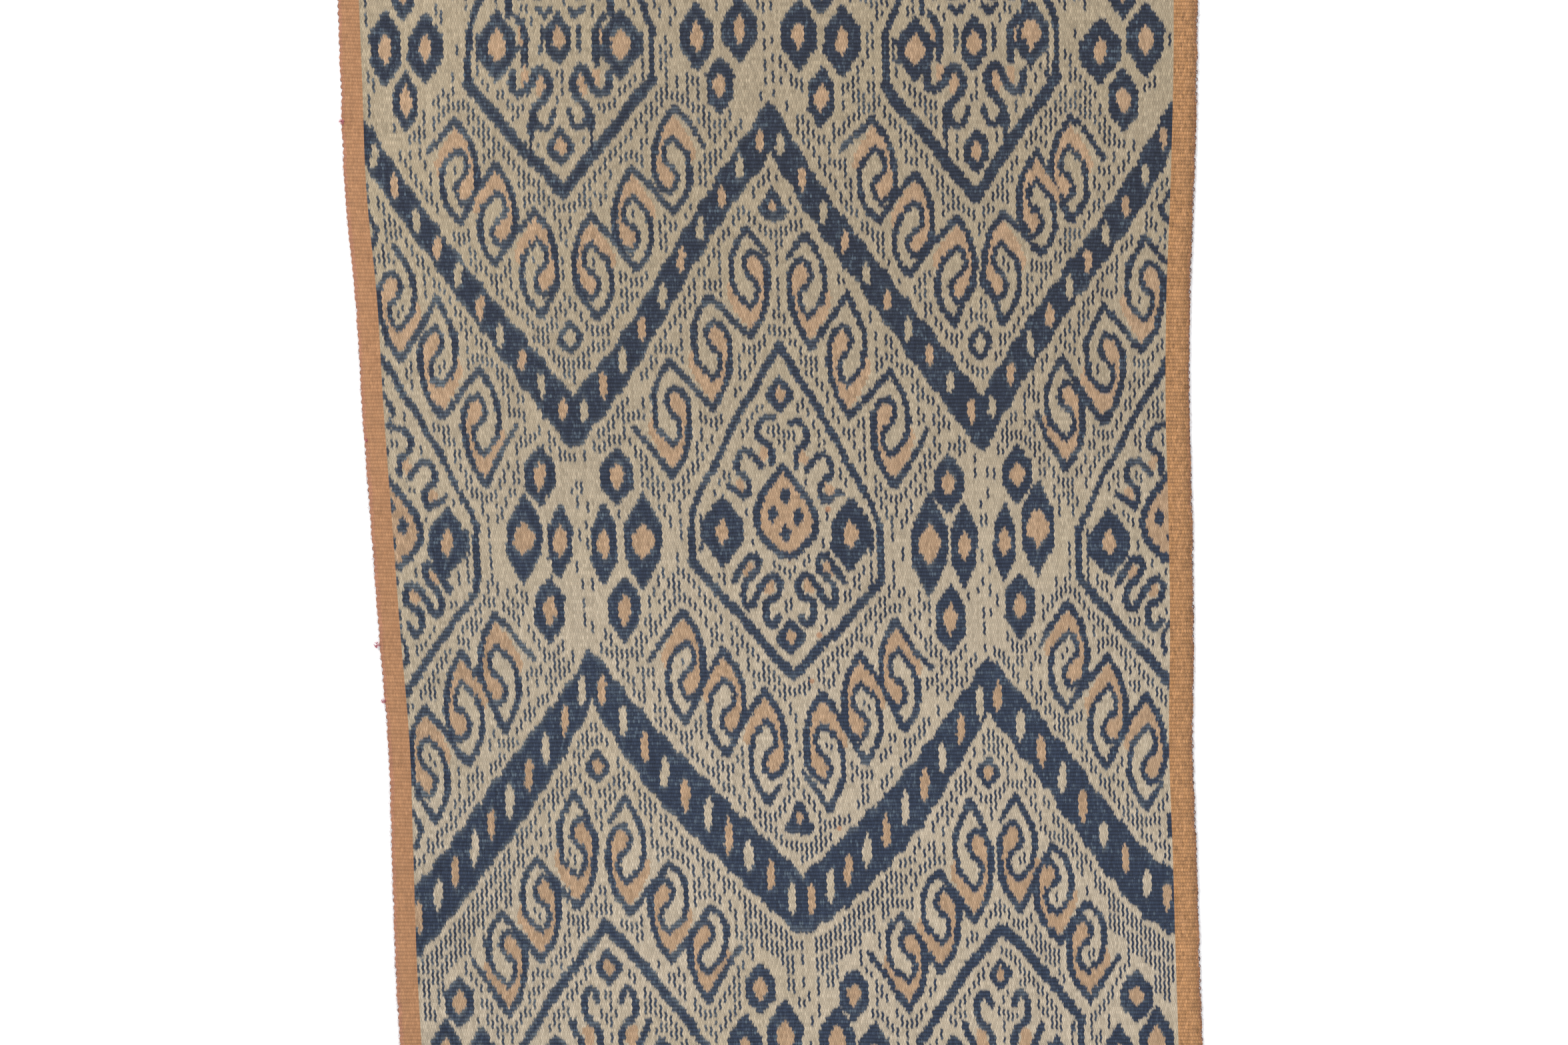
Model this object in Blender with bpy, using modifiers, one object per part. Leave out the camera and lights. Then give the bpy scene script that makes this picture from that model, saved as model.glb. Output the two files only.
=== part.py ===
"""Flat length of warp-faced woven cloth, lying on a surface.

Metres, +Z up. The warp runs along Y, the weft across along X. The underside
is flat at Z = 0 and the block that bounds the cloth is centred on X = Y = 0.
"""
import bpy
import bmesh

# Driving dimensions
LENGTH = 0.960          # along the warp
THICKNESS = 0.0012      # of the woven sheet
STATION_STEP = 0.060    # between the measured stations below, along the warp
ROWS_PER_STATION = 4    # how finely each selvedge curve is divided
COLUMNS = 6             # divisions across the cloth

# Where the two selvedges run, in millimetres from the centre line, at stations
# STATION_STEP apart from the far end (+Y) to the near end (-Y). The cloth is
# a little narrower at the near end, and both selvedges wander slightly.
#   left, right
SELVEDGES_MM = (
    (-237.2, 231.8),
    (-236.2, 231.8),
    (-235.1, 231.5),
    (-233.5, 231.3),
    (-231.1, 231.1),
    (-228.8, 229.5),
    (-223.0, 227.3),
    (-219.4, 227.0),
    (-214.9, 228.6),
    (-210.4, 229.3),
    (-205.4, 228.8),
    (-203.4, 230.8),
    (-201.4, 232.6),
    (-198.0, 234.5),
    (-195.8, 235.8),
    (-194.0, 236.7),
    (-193.0, 237.2),
)


def between(before, start, end, after, t):
    """A smooth curve through the two middle values of four."""
    return 0.5 * (
        2.0 * start
        + (end - before) * t
        + (2.0 * before - 5.0 * start + 4.0 * end - after) * t * t
        + (3.0 * (start - end) + after - before) * t * t * t
    )


def selvedge(side, station):
    """X of the left (0) or right (1) selvedge, in metres, at a station number that need not be whole."""
    last = len(SELVEDGES_MM) - 1
    i = min(int(station), last - 1)
    four = [SELVEDGES_MM[min(max(i + k, 0), last)][side] for k in (-1, 0, 1, 2)]
    return between(*four, station - i) / 1000.0


def plain_material(name, colour, roughness):
    material = bpy.data.materials.new(name)
    material.use_nodes = True
    shader = material.node_tree.nodes["Principled BSDF"]
    shader.inputs["Base Color"].default_value = (*colour, 1.0)
    shader.inputs["Roughness"].default_value = roughness
    return material


def cloth_sheet():
    """The middle of the job: an open sheet with the cloth's outline, at Z = 0."""
    mesh = bpy.data.meshes.new("cloth")
    bm = bmesh.new()
    rows = (len(SELVEDGES_MM) - 1) * ROWS_PER_STATION
    grid = []
    for row in range(rows + 1):
        station = row / ROWS_PER_STATION
        left, right = selvedge(0, station), selvedge(1, station)
        y = LENGTH / 2.0 - station * STATION_STEP
        grid.append(
            [
                bm.verts.new((left + (right - left) * c / COLUMNS, y, 0.0))
                for c in range(COLUMNS + 1)
            ]
        )
    for upper, lower in zip(grid, grid[1:]):
        for c in range(COLUMNS):
            bm.faces.new((upper[c], lower[c], lower[c + 1], upper[c + 1]))
    bm.to_mesh(mesh)
    bm.free()
    return bpy.data.objects.new("cloth", mesh)


for old in list(bpy.data.objects):
    bpy.data.objects.remove(old, do_unlink=True)

collection = bpy.data.collections.new("ikat_cloth")
bpy.context.scene.collection.children.link(collection)

cloth = cloth_sheet()
collection.objects.link(cloth)
cloth.data.materials.append(
    plain_material("ikat_cotton", (0.27, 0.215, 0.165), 0.9)
)
thick = cloth.modifiers.new("thickness", "SOLIDIFY")
thick.thickness = THICKNESS
thick.offset = 1.0
thick.use_even_offset = True
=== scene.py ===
import math

import bpy
import numpy as np
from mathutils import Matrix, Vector


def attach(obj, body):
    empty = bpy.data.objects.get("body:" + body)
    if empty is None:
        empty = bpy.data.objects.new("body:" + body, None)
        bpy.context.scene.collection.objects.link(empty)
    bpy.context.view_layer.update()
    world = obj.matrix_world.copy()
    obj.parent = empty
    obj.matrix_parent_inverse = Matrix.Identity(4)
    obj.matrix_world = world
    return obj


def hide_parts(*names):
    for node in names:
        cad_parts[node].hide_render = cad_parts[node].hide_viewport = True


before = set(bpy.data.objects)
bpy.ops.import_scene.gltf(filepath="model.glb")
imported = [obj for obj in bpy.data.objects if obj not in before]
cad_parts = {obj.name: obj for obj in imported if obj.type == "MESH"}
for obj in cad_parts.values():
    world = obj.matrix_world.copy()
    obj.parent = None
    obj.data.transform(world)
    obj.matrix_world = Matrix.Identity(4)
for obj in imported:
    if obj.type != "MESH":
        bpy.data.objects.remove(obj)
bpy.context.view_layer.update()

rng = np.random.default_rng(4127)

# ---------------------------------------------------------------- sizes
# The chart is drawn in units of 0.36 mm, x to the right and y down the cloth,
# with the middle of the cloth at CHART_X, CHART_Y.
UNIT = 0.00036
CHART_X, CHART_Y = 1153.0, 784.0
LENGTH = 0.960
THICKNESS = 0.0012
TOP_Y = CHART_Y - LENGTH / UNIT / 2
END_Y = CHART_Y + LENGTH / UNIT / 2

BUNDLES = 320          # tied bundles across the patterned field, two warps each
BUNDLES_A_QUAD = 8
FIELD_QUADS = BUNDLES // BUNDLES_A_QUAD
ROWS = 667             # mesh rows down the cloth, 4 units each
PICK = 5.5             # weft pitch, in units
LEFT_STRIPE, RIGHT_STRIPE = 32.0, 35.0       # widths of the plain border stripes
LEFT_WARPS, RIGHT_WARPS = 16.5, 18.0

# Selvedges in mm from the middle line, one row for each 60 mm from the far end.
#                left    right
SELVEDGES_MM = [(-237.2, 231.8), (-236.2, 231.8), (-235.1, 231.5), (-233.5, 231.3),
                (-231.1, 231.1), (-228.8, 229.5), (-223.0, 227.3), (-219.4, 227.0),
                (-214.9, 228.6), (-210.4, 229.3), (-205.4, 228.8), (-203.4, 230.8),
                (-201.4, 232.6), (-198.0, 234.5), (-195.8, 235.8), (-194.0, 236.7),
                (-193.0, 237.2)]

# The three mirror lines of the repeat that run down the cloth, leaning as the warps do.
#        y      first  second third
AXES = [(-549,  829,   1142,  1453),
        (0,     840,   1150,  1460),
        (294,   843,   1160,  1466),
        (588,   861,   1171,  1473),
        (882,   880,   1184,  1480),
        (1176,  897,   1196,  1491),
        (1470,  913,   1211,  1503),
        (2117,  938,   1233,  1520)]


def catmull(values, t):
    """Smooth values at t, where 0 is the first value and len - 1 the last."""
    v = np.asarray(values, float)
    t = np.clip(np.asarray(t, float), 0, len(v) - 1 - 1e-9)
    i = np.floor(t).astype(int)
    f = t - i
    p0, p1 = v[np.maximum(i - 1, 0)], v[i]
    p2, p3 = v[np.minimum(i + 1, len(v) - 1)], v[np.minimum(i + 2, len(v) - 1)]
    return 0.5 * (2 * p1 + (p2 - p0) * f + (2 * p0 - 5 * p1 + 4 * p2 - p3) * f * f
                  + (3 * p1 - p0 - 3 * p2 + p3) * f ** 3)


def outer_edges(y):
    """Chart x of the two selvedges at chart y."""
    t = (np.asarray(y, float) - TOP_Y) * UNIT / 0.060
    left = catmull([a for a, b in SELVEDGES_MM], t)
    right = catmull([b for a, b in SELVEDGES_MM], t)
    return CHART_X + left * 0.001 / UNIT, CHART_X + right * 0.001 / UNIT


def lines_at(y):
    """Chart x of the field's left edge, the three mirror lines and its right edge."""
    y = np.asarray(y, float)
    left, right = outer_edges(y)
    ys = [row[0] for row in AXES]
    mids = [np.interp(y, ys, [row[k] for row in AXES]) for k in (1, 2, 3)]
    return [left + LEFT_STRIPE, *mids, right - RIGHT_STRIPE]


def across(u, y):
    """Chart x of bundle position u (0 to 320) at chart y, along the leaning warps."""
    lines = lines_at(y)
    x = np.zeros(np.broadcast(u, y).shape)
    for k in range(4):
        f = (u - 80 * k) / 80
        part = lines[k] + (lines[k + 1] - lines[k]) * f
        x = np.where((u >= 80 * k) if k else True, part, x)
    return x


def along(x, y, dy):
    """The chart point dy further down the same warps."""
    if dy == 0:
        return (x, y)
    here, there = lines_at(y), lines_at(y + dy)
    k = sum(x > float(line) for line in here[1:4])
    f = (x - float(here[k])) / float(here[k + 1] - here[k])
    return (float(there[k]) + float(there[k + 1] - there[k]) * f, y + dy)


def soft_noise(shape, cells, seed):
    """Smooth seeded noise from -1 to 1 over an array of that shape."""
    g = np.random.default_rng(seed).uniform(-1, 1, (cells[0] + 3, cells[1] + 3))
    a = np.linspace(0, cells[0], shape[0])
    b = np.linspace(0, cells[1], shape[1])
    ia, ib = np.floor(a).astype(int), np.floor(b).astype(int)
    fa, fb = a - ia, b - ib
    fa, fb = (3 - 2 * fa) * fa * fa, (3 - 2 * fb) * fb * fb
    fa, fb = fa[:, None], fb[None, :]
    g00, g01 = g[np.ix_(ia, ib)], g[np.ix_(ia, ib + 1)]
    g10, g11 = g[np.ix_(ia + 1, ib)], g[np.ix_(ia + 1, ib + 1)]
    return (g00 * (1 - fa) * (1 - fb) + g01 * (1 - fa) * fb
            + g10 * fa * (1 - fb) + g11 * fa * fb)


# ---------------------------------------------------------------- the dyed chart
# One row a unit down the cloth and one column a bundle: ink is the dark blue,
# tan the pale brown, the rest stays undyed.
ROW0 = int(math.floor(TOP_Y)) - 2
ROW1 = int(math.ceil(END_Y)) + 3
grid_y = np.arange(ROW0, ROW1, dtype=float)[:, None] + np.zeros((1, BUNDLES))
grid_u = np.arange(BUNDLES, dtype=float)[None, :] + 0.5 + np.zeros((ROW1 - ROW0, 1))
grid_x = across(grid_u, grid_y)
# bundles slip a little along each other, and the hand-tied lines waver
slip = rng.normal(0, 1.7, BUNDLES)[None, :]
grid_y = grid_y + slip + 1.3 * soft_noise(grid_y.shape, (60, 110), 3)
grid_x = grid_x + 1.2 * soft_noise(grid_x.shape, (110, 36), 5)
ink = np.zeros(grid_x.shape, bool)
tan = np.zeros(grid_x.shape, bool)
CREAM, INK, TAN = 0, 1, 2
REPEAT = 1533          # length of the whole design, after which it starts again
open_rows = [ROW0, ROW1]


def put(window, mask, dye):
    i, t = ink[window], tan[window]
    if dye == INK:
        i[mask] = True
    elif dye == TAN:
        i[mask] = False
        t[mask] = True
    else:
        i[mask] = False
        t[mask] = False
    ink[window], tan[window] = i, t


def window_of(x0, x1, y0, y1):
    r0, r1 = max(int(y0) - 8, open_rows[0]) - ROW0, min(int(y1) + 9, open_rows[1]) - ROW0
    if r1 <= r0:
        return None
    band = grid_x[r0:r1]
    cols = np.nonzero((band.max(0) >= x0) & (band.min(0) <= x1))[0]
    if not len(cols):
        return None
    return (slice(r0, r1), slice(cols[0], cols[-1] + 1))


def fill(points, dye=INK):
    """A closed shape."""
    p = np.asarray(points, float)
    w = window_of(p[:, 0].min(), p[:, 0].max(), p[:, 1].min(), p[:, 1].max())
    if w is None:
        return
    x, y = grid_x[w], grid_y[w]
    inside = np.zeros(x.shape, bool)
    for (ax, ay), (bx, by) in zip(p, np.roll(p, -1, 0)):
        if ay == by:
            continue
        cross = (ay > y) != (by > y)
        inside ^= cross & (x < (bx - ax) * (y - ay) / (by - ay) + ax)
    put(w, inside, dye)


def stroke(points, width, dye=INK):
    """A line through the points. width is one number, or one for each point."""
    p = np.asarray(points, float)
    half = np.broadcast_to(np.asarray(width, float) / 2, (len(p),))
    for k in range(len(p) - 1):
        (ax, ay), (bx, by) = p[k], p[k + 1]
        h = max(half[k], half[k + 1])
        w = window_of(min(ax, bx) - h, max(ax, bx) + h, min(ay, by) - h, max(ay, by) + h)
        if w is None:
            continue
        x, y = grid_x[w], grid_y[w]
        dx, dy = bx - ax, by - ay
        t = np.clip(((x - ax) * dx + (y - ay) * dy) / max(dx * dx + dy * dy, 1e-6), 0, 1)
        d = np.hypot(x - ax - t * dx, y - ay - t * dy)
        put(w, d < half[k] + (half[k + 1] - half[k]) * t, dye)


def rounded(points, keep=()):
    """The same line with its corners cut once, except at the points in keep."""
    out = [points[0]]
    for k in range(1, len(points) - 1):
        a, b, c = (np.asarray(points[j], float) for j in (k - 1, k, k + 1))
        if k in keep:
            out.append(tuple(b))
        else:
            out += [tuple(b + (a - b) * 0.28), tuple(b + (c - b) * 0.28)]
    return out + [points[-1]]


def almond(x, y, width, height, flat, dye=INK):
    """A lozenge whose sides stay upright for that share of its height, then run to a point."""
    w = window_of(x - width / 2, x + width / 2, y - height / 2, y + height / 2)
    if w is None:
        return
    t = np.abs(grid_y[w] - y) / (height / 2)
    reach = width / 2 * np.clip((1.06 - t) / (1 - flat), 0, 1)
    put(w, (np.abs(grid_x[w] - x) < reach) & (t < 1), dye)


def spindle(x, y, width, height, power=1.5, dye=INK):
    """A lozenge with pointed ends, as the tied bundles make it."""
    w = window_of(x - width / 2, x + width / 2, y - height / 2, y + height / 2)
    if w is None:
        return
    t = np.abs(grid_y[w] - y) / (height / 2)
    reach = width / 2 * (1 - np.minimum(t, 1) ** power)
    put(w, (np.abs(grid_x[w] - x) < reach) & (t < 1), dye)


# Hook: one line from its tip, down its outer side, round the head and in, round the
# inner tip and back up its near side to the turn. x is towards the outer side.
#        x    y    width
HOOK = [(0,   0,   12),
        (19,  27,  10),
        (27,  53,  11),
        (29,  78,  11),
        (28,  101, 11),
        (18,  117, 10),
        (5,   124, 9),
        (-3,  114, 9),
        (-6,  101, 9),
        (1,   88,  9),
        (12,  79,  9),
        (15,  66,  9),
        (11,  52,  9),
        (2,   43,  9),
        (-9,  54,  9),
        (-20, 66,  9),
        (-25, 90,  10),
        (-24, 114, 11),
        (-16, 134, 10)]
HOOK_FILL = [(0, 10), (19, 30), (27, 56), (27, 98), (16, 116), (3, 118), (-4, 104),
             (2, 92), (14, 80), (17, 62), (3, 42), (-9, 54), (-20, 66), (-26, 84), (-34, 70), (-32, 58), (-20, 36)]


def hook(tip, turn, side, step):
    """side is +1 where the outer side is to the right. step is the line on to the next hook."""
    (tx, ty), (ux, uy) = tip, turn
    reach = abs(uy - ty)
    up = -1 if uy < ty else 1
    stretch = 1 + 0.5 * (reach / 150 - 1)

    def place(lx, ly):
        dy = ly * stretch
        return (tx + side * lx + (ux - tx) * dy / reach, ty + up * dy)

    fill([place(a, b) for a, b in HOOK_FILL], TAN)
    path = [place(a, b) for a, b, w in HOOK]
    widths = [w * 0.88 for a, b, w in HOOK]
    line = path + [turn]
    stroke(line, widths + [10])
    if step is not None:
        stroke([turn, ((turn[0] + step[0]) / 2 - side * 3, (turn[1] + step[1]) / 2), step], [10, 9, 10])


# Chains of three hooks. Each row: the side the heads lie on, three tips, three turns,
# the line that starts the chain and the line that ends it.
#         side  tips                                   turns                                  start                      end
CHAINS = [(+1, [(683, 180), (742, 245), (801, 315)],   [(690, 335), (745, 395), (812, 474)],  [(642, 228)],              [(838, 425)]),
          (-1, [(1010, 162), (947, 252), (887, 322)],  [(1010, 318), (955, 405), (895, 476)], [(1055, 215), (1030, 178)], [(864, 435)]),
          (+1, [(1308, 178), (1372, 260), (1435, 325)], [(1318, 332), (1365, 412), (1430, 487)], [(1262, 225)],           [(1457, 425)]),
          (-1, [(1605, 178), (1555, 228), (1505, 320)], [(1605, 332), (1560, 380), (1503, 485)], [(1657, 240), (1625, 190)], [(1482, 425)]),
          (-1, [(743, 922), (693, 980), (637, 1062)],  [(758, 1097), (703, 1148), (653, 1232)], [(800, 990), (765, 945)], [(625, 1190)]),
          (+1, [(1025, 917), (1085, 975), (1147, 1035)], [(1028, 1085), (1090, 1132), (1153, 1205)], [(975, 990), (995, 960)], [(1170, 1180)]),
          (-1, [(1343, 932), (1290, 982), (1233, 1040)], [(1358, 1097), (1300, 1145), (1245, 1215)], [(1398, 1002), (1375, 980)], [(1205, 1160)]),
          (+1, [(1600, 905), (1660, 987), (1718, 1043)], [(1602, 1065), (1660, 1152), (1720, 1212)], [(1562, 965), (1575, 940)], [(1743, 1175)])]
# Chains that climb: their tips are the bottoms of the hooks.
CLIMBS = [(-1, [(603, 540), (664, 628), (730, 727)],   [(592, 370), (654, 448), (719, 552)],  [],                        [(755, 670), (775, 640)]),
          (+1, [(1125, 505), (1068, 613), (1008, 715)], [(1120, 342), (1063, 442), (1003, 540)], [(1150, 380)],           [(970, 665), (950, 640)]),
          (-1, [(1218, 520), (1276, 625), (1342, 730)], [(1208, 350), (1270, 442), (1335, 558)], [(1182, 385)],           [(1380, 670), (1390, 645)]),
          (+1, [(1713, 525), (1655, 637), (1599, 705)], [(1717, 355), (1655, 460), (1592, 537)], [(1748, 395)],           [(1570, 655), (1555, 620)]),
          (+1, [(866, 1362), (812, 1440), (763, 1522)], [(862, 1188), (806, 1290), (755, 1372)], [(885, 1235)],           [(725, 1465), (710, 1445)]),
          (-1, [(945, 1372), (1008, 1442), (1063, 1502)], [(938, 1198), (1003, 1297), (1065, 1362)], [(915, 1232)],       [(1095, 1445), (1110, 1420)]),
          (+1, [(1461, 1382), (1411, 1458), (1364, 1515)], [(1455, 1200), (1408, 1308), (1353, 1375)], [(1477, 1245)],    [(1325, 1460), (1303, 1430)]),
          (-1, [(1530, 1368), (1588, 1413), (1635, 1502)], [(1525, 1197), (1578, 1270), (1630, 1357)], [(1502, 1230)],    [(1665, 1455), (1678, 1438)])]


def chain(row, climbing, dy=0):
    side, tips, turns, start, end = row

    def move(p):
        return along(*p, dy)

    tips, turns = [move(p) for p in tips], [move(p) for p in turns]
    start, end = [move(p) for p in start], [move(p) for p in end]
    if climbing:
        for k in range(3):
            hook(tips[k], turns[k], side, None)
            if k < 2:
                stroke([tips[k], turns[k + 1]], 9.5)
        if start:
            stroke(start + [turns[0]], [8] * len(start) + [10])
        stroke([tips[2]] + end, [11] + [8] * len(end))
    else:
        for k in range(3):
            hook(tips[k], turns[k], side, tips[k + 1] if k < 2 else None)
        stroke(start + [tips[0]], [8] * len(start) + [10])
        stroke([turns[2]] + end, [11] + [7] * len(end))


# Zigzag bands: from corner to corner along the middle of the band. bow is how far a
# leg's middle hangs below its straight line and sway how far its first half does and its
# second half rises. start, end and belly give half the band's height at the leg's ends
# and what its middle adds. tall is the height of the lozenges on that leg.
#            x0    y0    x1    y1    lozenges bow sway start end belly tall
ZIG_ONE = [(545,  208,  861,  634,  10,      16, 0,   32,   42, -2,   36),
           (861,  634,  1155, 190,  10,      6,  11,  44,   42, -3,   37),
           (1155, 190,  1474, 636,  10,      17, 3,   38,   43, -2,   35),
           (1474, 636,  1760, 184,  10,      2,  -9,  42,   38, -2,   35)]
ZIG_TWO = [(616,  1390, 888,  1012, 10,      20, 0,   52,   44, 12,   48),
           (888,  1012, 1203, 1360, 10,      23, 7,   41,   45, 10,   50),
           (1203, 1360, 1483, 1026, 10,      38, 0,   46,   43, 13,   49),
           (1483, 1026, 1766, 1358, 9,       20, -10, 42,   48, 8,    45)]


def band_at(leg, f):
    """Middle and half height of a zigzag's leg, a share f along it."""
    x0, y0, x1, y1, count, bow, sway, start, end, belly, tall = leg
    return (x0 + (x1 - x0) * f,
            y0 + (y1 - y0) * f + bow * 4 * f * (1 - f) + sway * math.sin(2 * math.pi * f),
            start + (end - start) * f + belly * math.sin(math.pi * f))


def zigzag(legs, dy=0.0, phase=0):
    tops, bottoms, marks = [], [], []
    n = phase
    for leg in legs:
        x0, y0, count, tall = leg[0], leg[1], leg[4], leg[10]
        steps = 40
        for k in range(steps + 1):
            f = k / steps
            x, y, half = band_at(leg, f)
            half += 4.0 * math.cos(2 * math.pi * (f * count - 0.5))
            tops.append(along(x, y - half + 2.5 * math.sin(9.1 * f + x0), dy))
            bottoms.append(along(x, y + half + 2.5 * math.sin(7.3 * f + y0), dy))
        for k in range(count):
            x, y, half = band_at(leg, (k + 0.5) / count)
            marks.append((*along(x + rng.normal(0, 0.8), y + rng.normal(0, 1.6), dy), tall * rng.uniform(0.88, 1.12), n % 2))
            n += 1
    fill([(tops[0][0] - 40, tops[0][1])] + tops + [(tops[-1][0] + 40, tops[-1][1]), (tops[-1][0] + 40, bottoms[-1][1])]
         + bottoms[::-1] + [(tops[0][0] - 40, bottoms[0][1])])
    for x, y, tall, brown in marks:
        almond(x, y, 11.8, tall * 1.08, 0.46, TAN if brown else CREAM)


# Eyed lozenges: middle, width and height, then width and height of the tan core.
#        x     y     w   h    cw  ch
EYES = [(578,  73,   46, 112, 20, 50), (638,  73,   52, 104, 18, 46), (609,  152,  36, 88, 18, 52),
        (605,  -8,   32, 76, 14, 34), (745,  69,   56, 104, 30, 52), (931,  66,   58, 104, 31, 50),
        (837,  58,   38, 78, 20, 40), (841,  221,  38, 58, 18, 32), (1045, 54,   50, 100, 19, 48),
        (1109, 43,   52, 98, 17, 50), (1080, 127,  42, 86, 20, 42), (1198, 52,   54, 106, 20, 44),
        (1263, 62,   54, 106, 20, 46), (1232, 145,  40, 90, 21, 44), (1232, -18,  40, 76, 18, 36),
        (1373, 74,   54, 94, 28, 50), (1546, 49,   54, 98, 28, 50), (1461, 64,   38, 84, 23, 42),
        (1465, 226,  36, 64, 17, 34), (1650, 77,   60, 98, 21, 44), (1719, 58,   56, 108, 25, 48),
        (1685, 150,  44, 92, 23, 42), (1685, -14,  40, 82, 18, 36),
        (810,  713,  46, 88, 20, 46), (925,  714,  48, 84, 22, 44), (786,  808,  52, 134, 32, 52),
        (840,  812,  36, 112, 22, 52), (906,  817,  38, 122, 20, 48), (964,  812,  56, 142, 36, 54),
        (825,  915,  46, 96, 20, 48), (937,  915,  46, 96, 21, 52),
        (1423, 727,  44, 88, 21, 40), (1526, 711,  42, 88, 21, 42), (1394, 817,  54, 152, 33, 62),
        (1446, 818,  38, 126, 19, 48), (1507, 814,  32, 116, 19, 48), (1557, 791,  46, 140, 32, 60),
        (1426, 930,  44, 102, 19, 52), (1530, 909,  44, 96, 21, 42),
        (671,  815,  58, 102, 19, 44), (1084, 796,  58, 104, 18, 42), (1276, 802,  60, 108, 22, 46),
        (1664, 816,  58, 98, 19, 42), (1169, 592,  38, 54, 16, 28), (1187, 957,  40, 52, 16, 26),
        (896,  1150, 34, 51, 17, 28), (1483, 1158, 32, 50, 16, 28), (913,  1452, 36, 54, 18, 28),
        (1501, 1462, 30, 46, 13, 26), (689,  1504, 44, 74, 20, 40), (1141, 1483, 44, 74, 20, 40),
        (1281, 1492, 44, 76, 20, 38), (1705, 1495, 46, 76, 24, 32),
        (668,  1586, 46, 112, 24, 60), (722,  1596, 46, 104, 20, 48), (1118, 1574, 50, 106, 18, 44),
        (1178, 1556, 54, 110, 26, 56), (1256, 1564, 52, 108, 25, 58), (1310, 1586, 46, 102, 20, 48),
        (1678, 1592, 50, 104, 20, 48), (1735, 1566, 50, 110, 26, 60),
        (835,  1604, 54, 100, 28, 50), (994,  1606, 54, 100, 28, 50), (915,  1613, 38, 76, 20, 40),
        (1430, 1604, 54, 100, 28, 50), (1584, 1606, 54, 100, 28, 50), (1508, 1613, 38, 76, 20, 42)]
RINGS = [(855, 507, 35, 50), (1470, 514, 33, 54)]


def eye(x, y, w, h, cw, ch):
    # the smallest are plain diamonds
    if h < 60:
        almond(x, y, w + 4, h + 2, 0.12)
    else:
        almond(x, y, w + 1, h + 2, 0.26 if w > 49 else 0.34)
    almond(x, y, cw * 0.98, ch * 0.98, 0.25, TAN)


# Large compartments: the mirror line's x and the height of the upper tip, the upright
# side's x and its two heights, and the lower tip. None where that end is out of reach.
# Then the line's width above the upright side and below it, and how far its upper part swells.
#                tip x  tip y  side x  from  to    foot x  foot y  above  below  swell
COMPARTMENTS = [(840,  -150,  702,    45,   126,  843,    289,    10,    18,   4),
                (840,  -150,  978,    42,   120,  843,    289,    10,    18,   4),
                (1458, -146,  1329,   50,   130,  1465,   296,    10,    18,   4),
                (1458, -146,  1584,   30,   112,  1465,   296,    10,    18,   4),
                (1168, 518,   1038,   768,  842,  1190,   1016,   10,    14,   1),
                (1168, 518,   1321,   790,  874,  1190,   1016,   10,    14,   1),
                (572,  536,   715,    790,  888,  604,    1046,   9,     12,   1),
                (1760, 526,   1619,   790,  866,  1758,   1032,   9,     14,   1),
                (909,  1387,  785,    1570, 1651, 927,    1822,   14,    15,   1),
                (909,  1387,  1058,   1568, 1649, 927,    1822,   14,    15,   1),
                (1499, 1395,  1382,   1562, 1645, 1512,   1829,   14,    15,   1),
                (1506, 1395,  1622,   1530, 1620, 1512,   1829,   14,    15,   1)]


def stepped(a, b, width, steps, swell=1.0):
    """A slanting line drawn in short steep and flat runs, as stepped ties make it."""
    pts = []
    for k in range(steps + 1):
        f = k / steps
        bulge = 5.0 * math.sin(math.pi * f) * (1 if b[0] > a[0] else -1) * (1 if b[1] > a[1] else -1)
        j = 0 if k in (0, steps) else 1
        pts.append((a[0] + (b[0] - a[0]) * f + bulge * swell + j * rng.normal(0, 1.0),
                    a[1] + (b[1] - a[1]) * f + j * rng.normal(0, 1.2)))
    stroke(pts, np.linspace(*width, len(pts)))


def compartment(row):
    tx, ty, sx, s0, s1, bx, by, above, below, swell = row
    stepped((tx, ty), (sx, s0), (above + 2.5, above - 1), 11, swell)
    stroke([(sx, s0), (sx, s1)], 10.5)
    stepped((sx, s1), (bx, by), (below - 1, below), 6, 0.0)
    inner = 13 if sx < tx else -13
    y = s0 + 6
    while y < s1 - 8:
        long = rng.uniform(10, 18)
        stroke([(sx + inner, y), (sx + inner + rng.normal(0, 0.6), y + long)], 4.2)
        y += long + rng.uniform(5, 9)


# Scrolls inside the compartments, drawn once for a right or left half and mirrored.
# A stroke is its width, its dye and its points, from the mirror line and the chart's y.
UPPER_SCROLLS = [(7, INK, (12, 634), (28, 632), (40, 656), (33, 669), (18, 676), (18, 702)),
               (9, TAN, (28, 682), (31, 692)),
               (7, INK, (33, 706), (42, 694), (57, 680), (70, 690), (72, 712), (58, 722), (51, 736), (58, 756), (66, 747), (84, 738)),
               (11, TAN, (66, 732), (68, 744))]
LOWER_SCROLLS = [(8, INK, (82, 872), (68, 846), (57, 831), (45, 836), (45, 850), (54, 864), (67, 876), (69, 900), (62, 911), (54, 906), (46, 886), (27, 860), (14, 870), (13, 885), (21, 899), (34, 900), (38, 914), (34, 934), (24, 940), (17, 926)),
                 (12, TAN, (58, 850), (60, 858)),
                 (12, TAN, (28, 876), (30, 884))]
CORE = [(-2, 702), (22, 734), (42, 764), (46, 790), (36, 810), (2, 844), (-30, 816), (-46, 790), (-42, 752), (-20, 722)]
CORE_SPOTS = [(0, 746), (-20, 771), (18, 775), (-1, 802)]
TOP_SCROLLS = [(8, INK, (77, -10), (78, 22)),
               (8, INK, (66, 25), (57, 36), (52, 50), (52, 66), (54, 94)),
               (8, TAN, (59, 44), (59, 60)),
               (7, INK, (74, 68), (54, 71)),
               (6, INK, (14, 12), (24, 24), (34, 12)),
               (4, INK, (28, 42), (28, 58)),
               (4, INK, (28, 64), (29, 78))]
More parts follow.
